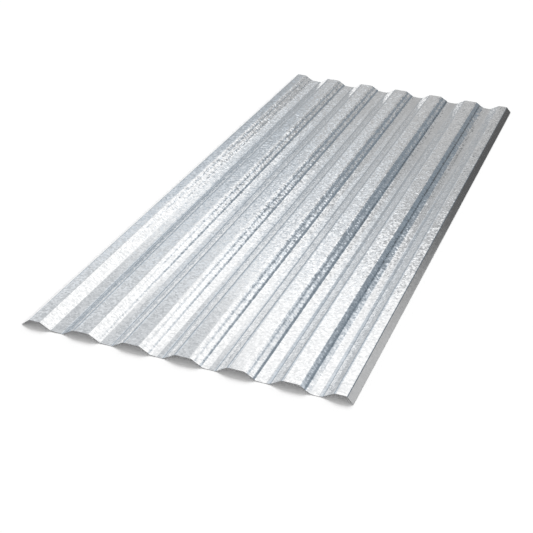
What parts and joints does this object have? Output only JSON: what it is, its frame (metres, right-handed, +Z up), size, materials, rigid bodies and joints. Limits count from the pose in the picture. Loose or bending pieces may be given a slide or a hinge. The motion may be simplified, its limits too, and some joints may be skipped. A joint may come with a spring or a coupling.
{
  "type": "corrugated metal sheet",
  "caption": "Galvanised steel roofing sheet with low trapezoidal ribs and a lap rib along each side, for roofs, walls and fences.",
  "frame": {"origin": "under the middle of the sheet, on the surface that it lies on", "axes": "+Z up, out of the weather side; +Y along the ribs; +X across the ribs, from the lap rib that goes over the next sheet to the one that goes under it"},
  "size_m": [0.8446, 2, 0.0188],
  "materials": {
    "galvanised_steel": "hot-dip galvanised, bright, with a fine zinc spangle on both faces"
  },
  "bodies": {
    "root": {"corrugated_sheet": "galvanised_steel"}
  },
  "joints": []
}
